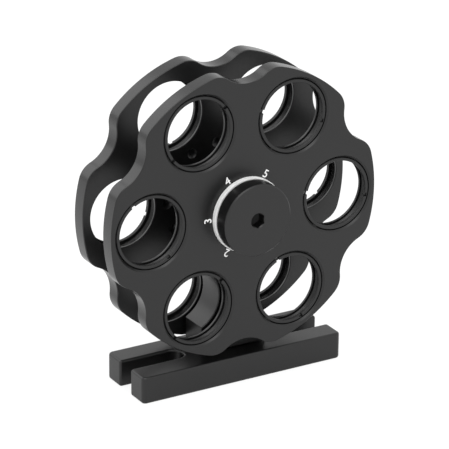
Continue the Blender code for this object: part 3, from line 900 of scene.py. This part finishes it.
def build_upright(materials):
    mesh = prism("upright", upright_outline(), -UPRIGHT_HIGH.y, UPRIGHT_HIGH.y, UPRIGHT_EDGE)
    reach = UPRIGHT_HIGH.y + CUT_MARGIN
    bores = ((AXLE_HEIGHT, PIVOT_THREAD_RADIUS + SEAT_GAP), (AXLE_HEIGHT - DETENT_DROP, DIMPLE_RADIUS))
    for height, radius in bores:
        bore = cylinder(radius, -reach, reach)
        mesh = drilled(mesh, bore, Matrix.Translation((0.0, height, 0.0)))
    mesh.transform(Matrix.Rotation(math.pi / 2, 4, "X"))
    bore = cylinder(SCREW_RADIUS + SEAT_GAP, UPRIGHT_LOW.z - CUT_MARGIN, SCREW_HIGH.z + 2 * SEAT_GAP)
    for side in (-1, 1):
        mesh = drilled(mesh, bore, sideways(side * SCREW_SPACING / 2))
    add_piece("post", mesh, materials["anodised"], "stand", node="upright")


def build_base_screws(materials):
    mesh = screw_mesh()
    for name, side in (("left", -1), ("right", 1)):
        place = sideways(side * SCREW_SPACING / 2)
        node = "base_screw_" + name
        add_piece("cap_screw_" + name, mesh, materials["screw"], "stand", place, node)


def number_mesh(number):
    """One digit in the plane of X and Y, a little raised."""
    text = bpy.data.curves.new("number", "FONT")
    text.body = str(number)
    text.size = NUMBER_SIZE
    text.align_x = "CENTER"
    text.align_y = "CENTER"
    text.extrude = NUMBER_THICKNESS / 2
    text.offset = NUMBER_STROKE_GAIN
    drawn = link_new("number", text)
    graph = bpy.context.evaluated_depsgraph_get()
    mesh = bpy.data.meshes.new_from_object(drawn.evaluated_get(graph))
    bpy.data.objects.remove(drawn, do_unlink=True)
    mesh.name = f"number_{number}"
    return mesh


def build_numbers(side, material):
    """Plain position numbers, 1 to 6 clockwise, with their feet towards the hub."""
    out = Matrix.Translation((0.0, NUMBER_CIRCLE_RADIUS, WHEEL_OUTER_FACE + NUMBER_THICKNESS / 2))
    for k in range(POSITIONS):
        number = POSITIONS - k
        turn = Matrix.Rotation(2 * HALF_PITCH * k - math.pi / 2, 4, "Z")
        place = side_frame(side) @ turn @ out
        add_piece(f"{side}_number_{number}", number_mesh(number), material, side + "_wheel_body", place)


def build_side(side, turns, meshes, materials):
    """One wheel with what it carries and what holds it. turns are its rings' angles in degrees."""
    place = side_frame(side)
    body = side + "_wheel_body"
    add_piece(side + "_disc", meshes["wheel"], materials["disc"], body, place,
              side + "_wheel")
    for k, turn in enumerate(turns):
        spot = place @ Matrix.Translation(around(FILTER_CIRCLE_RADIUS, 2 * HALF_PITCH * k))
        mesh = meshes["ring"].copy()
        mesh.transform(Matrix.Rotation(math.radians(turn), 4, "Z"))
        name = f"{side}_retainer_{k + 1}"
        add_piece(name, mesh, materials["ring"], body, spot, f"{side}_ring_{k + 1}")
    add_piece(side + "_sleeve", meshes["bushing"], materials["bronze"], body, place,
              side + "_bushing")
    add_piece(side + "_knob", meshes["screw"], materials["knob"], "stand", place,
              side + "_pivot_screw")
    add_piece(side + "_spacer", meshes["spacer"], materials["acetal"], "stand", place,
              side + "_thrust_spacer")
    add_piece(side + "_shim", meshes["shim"], materials["acetal"], "stand", place,
              side + "_inner_washer")
    seat = place @ Matrix.Translation((0.0, -DETENT_DROP, BALL_CENTRE))
    add_piece(side + "_ball", meshes["ball"], materials["ball"], side + "_ball_body", seat,
              side + "_detent_ball")
    build_numbers(side, materials["number"])


def build_coil(side, materials):
    """One half of the spring."""
    place = side_frame(side) @ Matrix.Translation((0.0, -DETENT_DROP, 0.0))
    coil = add_piece(side + "_coil", coil_mesh(), materials["spring"], None, place,
                     "detent_spring")
    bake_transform(coil)


def build_object():
    materials = make_materials()
    build_base(materials)
    build_upright(materials)
    build_base_screws(materials)
    meshes = {
        "wheel": wheel_mesh(),
        "ring": ring_mesh(),
        "screw": pivot_screw_mesh(),
        "spacer": washer_mesh("spacer", SHOULDER_BORE_RADIUS, SPACER_RADIUS - SPACER_INSET,
                              SPACER_INNER_FACE - SPACER_INSET, SPACER_OUTER_FACE, SPACER_CHAMFER),
        "shim": washer_mesh("shim", SHOULDER_BORE_RADIUS, INNER_WASHER_RADIUS, INNER_WASHER_INNER_FACE,
                            INNER_WASHER_OUTER_FACE, SHIM_CHAMFER),
        "bushing": washer_mesh("bushing", SHOULDER_BORE_RADIUS, BUSHING_RADIUS, WHEEL_INNER_FACE,
                               WHEEL_OUTER_FACE, SMALL_CHAMFER),
        "ball": ball_mesh(),
    }
    build_side("front", FRONT_RING_TURNS, meshes, materials)
    build_side("rear", REAR_RING_TURNS, meshes, materials)
    build_coil("front", materials)
    build_coil("rear", materials)


# Stage

def seen_directly(nodes, links, in_gloss):
    """One for camera rays, in_gloss for glossy and transmission rays, and zero for the rest."""
    path = nodes.new("ShaderNodeLightPath")
    total = path.outputs["Is Camera Ray"]
    for kind in ("Is Glossy Ray", "Is Transmission Ray"):
        add = nodes.new("ShaderNodeMath")
        add.operation = "MULTIPLY_ADD"
        links.new(path.outputs[kind], add.inputs[0])
        add.inputs[1].default_value = in_gloss
        links.new(total, add.inputs[2])
        total = add.outputs[0]
    return total


def build_world():
    """An even white surround."""
    world = bpy.data.worlds.new("studio")
    world.use_nodes = True
    bpy.context.scene.world = world
    background = world.node_tree.nodes["Background"]
    background.inputs["Color"].default_value = (1.0, 1.0, 1.0, 1.0)
    background.inputs["Strength"].default_value = 1.0


def build_floor():
    """A pale floor that looks white and keeps a faint shadow."""
    half = FLOOR_HALF_SIZE
    mesh = bpy.data.meshes.new("floor")
    corners = [(-half, -half, 0.0), (half, -half, 0.0), (half, half, 0.0), (-half, half, 0.0)]
    mesh.from_pydata(corners, [], [(0, 1, 2, 3)])
    floor = link_new("floor", mesh)
    material, nodes, links, shader = new_material("pale_floor")
    shader.inputs["Base Color"].default_value = (FLOOR_GREY, FLOOR_GREY, FLOOR_GREY, 1.0)
    shader.inputs["Roughness"].default_value = FLOOR_ROUGHNESS
    shader.inputs["Specular IOR Level"].default_value = 0.0
    glow = nodes.new("ShaderNodeEmission")
    glow.inputs["Strength"].default_value = FLOOR_GLOW
    mix = nodes.new("ShaderNodeMixShader")
    seen = seen_directly(nodes, links, FLOOR_GLOW_IN_GLOSS)
    share = map_range(nodes, links, seen, 0.0, FLOOR_GLOW_SHARE, from_low=0.0, from_high=1.0)
    links.new(share, mix.inputs["Fac"])
    links.new(shader.outputs["BSDF"], mix.inputs[1])
    links.new(glow.outputs["Emission"], mix.inputs[2])
    links.new(mix.outputs["Shader"], nodes["Material Output"].inputs["Surface"])
    mesh.materials.append(material)


def add_softbox(name, direction, distance, size, power):
    """A square lamp that faces the axle from that direction."""
    light = bpy.data.lights.new(name, "AREA")
    light.shape = "SQUARE"
    light.size = size
    light.energy = power
    lamp = link_new(name, light)
    away = Vector(direction).normalized()
    lamp.location = Vector((0.0, 0.0, AXLE_HEIGHT)) + away * distance
    lamp.rotation_mode = "QUATERNION"
    lamp.rotation_quaternion = (-away).to_track_quat("-Z", "Y")


def build_camera():
    """The camera at the photograph's viewing angle."""
    yaw, pitch, roll = CAMERA_YAW, CAMERA_PITCH, CAMERA_ROLL
    forward = Vector((math.sin(yaw), math.cos(yaw), 0.0)) * math.cos(pitch)
    forward.z = -math.sin(pitch)
    level = Vector((math.cos(yaw), -math.sin(yaw), 0.0))
    above = level.cross(forward)
    right = math.cos(roll) * level + math.sin(roll) * above
    up = -math.sin(roll) * level + math.cos(roll) * above
    camera_data = bpy.data.cameras.new("camera")
    camera_data.sensor_width = SENSOR_WIDTH
    camera_data.lens = FOCAL_PIXELS / PHOTO_WIDTH * SENSOR_WIDTH
    camera_data.clip_start, camera_data.clip_end = CAMERA_CLIP
    camera = link_new("camera", camera_data)
    turn = Matrix((right, up, -forward)).transposed().to_4x4()
    camera.matrix_world = Matrix.Translation(CAMERA_TARGET - CAMERA_DISTANCE * forward) @ turn
    bpy.context.scene.camera = camera


def build_stage():
    bpy.context.scene.view_settings.view_transform = "Standard"
    build_world()
    build_floor()
    add_softbox("key", **KEY_LIGHT)
    add_softbox("back", **BACK_LIGHT)
    build_camera()


build_object()
build_stage()
